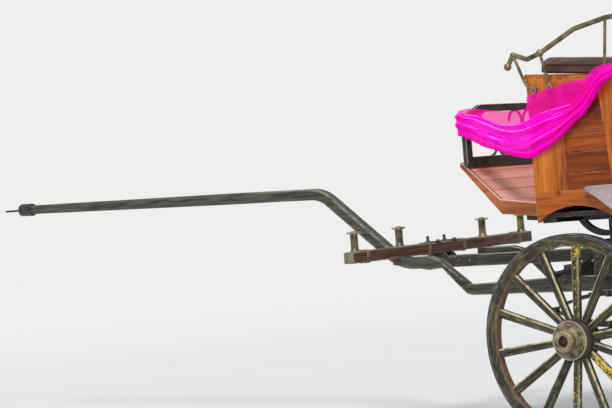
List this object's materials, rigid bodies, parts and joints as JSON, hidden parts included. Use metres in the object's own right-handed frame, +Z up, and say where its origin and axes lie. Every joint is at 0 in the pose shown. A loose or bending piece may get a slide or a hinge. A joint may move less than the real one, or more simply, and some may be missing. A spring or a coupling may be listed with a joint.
{
  "type": "horse-drawn carriage",
  "caption": "Four-wheeled open carriage for a pair, in varnished wood, with a raised driver's seat, two facing seats, side doors, steering forecarriage and pole.",
  "frame": {"origin": "centre of the carriage's footprint on the ground, from the pole's tip to the rear wings", "axes": "+X forward along the pole, +Y to the carriage's left, +Z up"},
  "size_m": [7.0402, 1.618, 1.9164],
  "materials": {
    "varnished_wood": "clear varnish over pine, orange-brown",
    "dark_timber": "worn dark green-black paint",
    "bar_timber": "weathered dark brown",
    "wheel_wood": "weathered, remains of olive and yellow paint",
    "tyre_iron": "worn iron tyre",
    "hub_iron": "old paint over iron",
    "black_iron": "black paint",
    "worn_iron": "dark bronze, worn bright on the edges",
    "leather": "dark brown leather",
    "wing_paint": "grey-blue paint, matt",
    "pink_cloth": "sheer fuchsia cloth"
  },
  "bodies": {
    "body": {"chassis_beams": "black_iron", "dash": "black_iron", "door_hinge_pins": "black_iron", "drape": "pink_cloth", "driver_box": "varnished_wood", "driver_cushion": "leather", "driver_seat_board": "varnished_wood", "front_passenger_backrest": "leather", "front_passenger_cushion": "leather", "front_side_frames": "varnished_wood", "front_wings": "wing_paint", "hand_rails": "worn_iron", "passenger_seat_boards": "varnished_wood", "passenger_well": "varnished_wood", "rear_axle": "black_iron", "rear_panel": "varnished_wood", "rear_passenger_backrest": "leather", "rear_passenger_cushion": "leather", "rear_side_frames": "varnished_wood", "rear_springs": "black_iron", "rear_wings": "wing_paint", "side_planks": "varnished_wood", "side_steps": "black_iron", "toe_board": "varnished_wood", "toe_rails": "varnished_wood", "turntable_upper_ring": "black_iron"},
    "forecarriage": {"bolster": "dark_timber", "centre_beam": "dark_timber", "front_axle": "black_iron", "front_springs": "black_iron", "hounds": "dark_timber", "pole": "dark_timber", "pole_head": "black_iron", "pole_straps": "black_iron", "roller_bolts": "worn_iron", "splinter_bar": "bar_timber", "turntable_lower_ring": "black_iron", "turntable_stays": "black_iron"},
    "left_door": {"left_door": "varnished_wood"},
    "right_door": {"right_door": "varnished_wood"},
    "front_left_wheel": {"front_left_wheel_felloe": "wheel_wood", "front_left_wheel_hub": "hub_iron", "front_left_wheel_spokes": "wheel_wood", "front_left_wheel_tyre": "tyre_iron"},
    "front_right_wheel": {"front_right_wheel_felloe": "wheel_wood", "front_right_wheel_hub": "hub_iron", "front_right_wheel_spokes": "wheel_wood", "front_right_wheel_tyre": "tyre_iron"},
    "rear_left_wheel": {"rear_left_wheel_felloe": "wheel_wood", "rear_left_wheel_hub": "hub_iron", "rear_left_wheel_spokes": "wheel_wood", "rear_left_wheel_tyre": "tyre_iron"},
    "rear_right_wheel": {"rear_right_wheel_felloe": "wheel_wood", "rear_right_wheel_hub": "hub_iron", "rear_right_wheel_spokes": "wheel_wood", "rear_right_wheel_tyre": "tyre_iron"}
  },
  "joints": [
    {"name": "forecarriage_steer", "type": "hinge", "parent": "body", "child": "forecarriage", "pos_m": [-0.92991, 0, 0.86], "axis": [0, 0, 1], "range_deg": [-30, 30]},
    {"name": "left_door_swing", "type": "hinge", "parent": "body", "child": "left_door", "pos_m": [-1.80291, 0.5115, 0.975], "axis": [0, 0, -1], "range_deg": [0, 85]},
    {"name": "right_door_swing", "type": "hinge", "parent": "body", "child": "right_door", "pos_m": [-1.80291, -0.5115, 0.975], "axis": [0, 0, 1], "range_deg": [0, 85]},
    {"name": "front_left_wheel_spin", "type": "hinge", "parent": "forecarriage", "child": "front_left_wheel", "pos_m": [-0.92991, 0.7, 0.475], "axis": [0, 1, 0], "continuous": true},
    {"name": "front_right_wheel_spin", "type": "hinge", "parent": "forecarriage", "child": "front_right_wheel", "pos_m": [-0.92991, -0.7, 0.475], "axis": [0, 1, 0], "continuous": true},
    {"name": "rear_left_wheel_spin", "type": "hinge", "parent": "body", "child": "rear_left_wheel", "pos_m": [-2.92991, 0.7, 0.56], "axis": [0, 1, 0], "continuous": true},
    {"name": "rear_right_wheel_spin", "type": "hinge", "parent": "body", "child": "rear_right_wheel", "pos_m": [-2.92991, -0.7, 0.56], "axis": [0, 1, 0], "continuous": true}
  ]
}
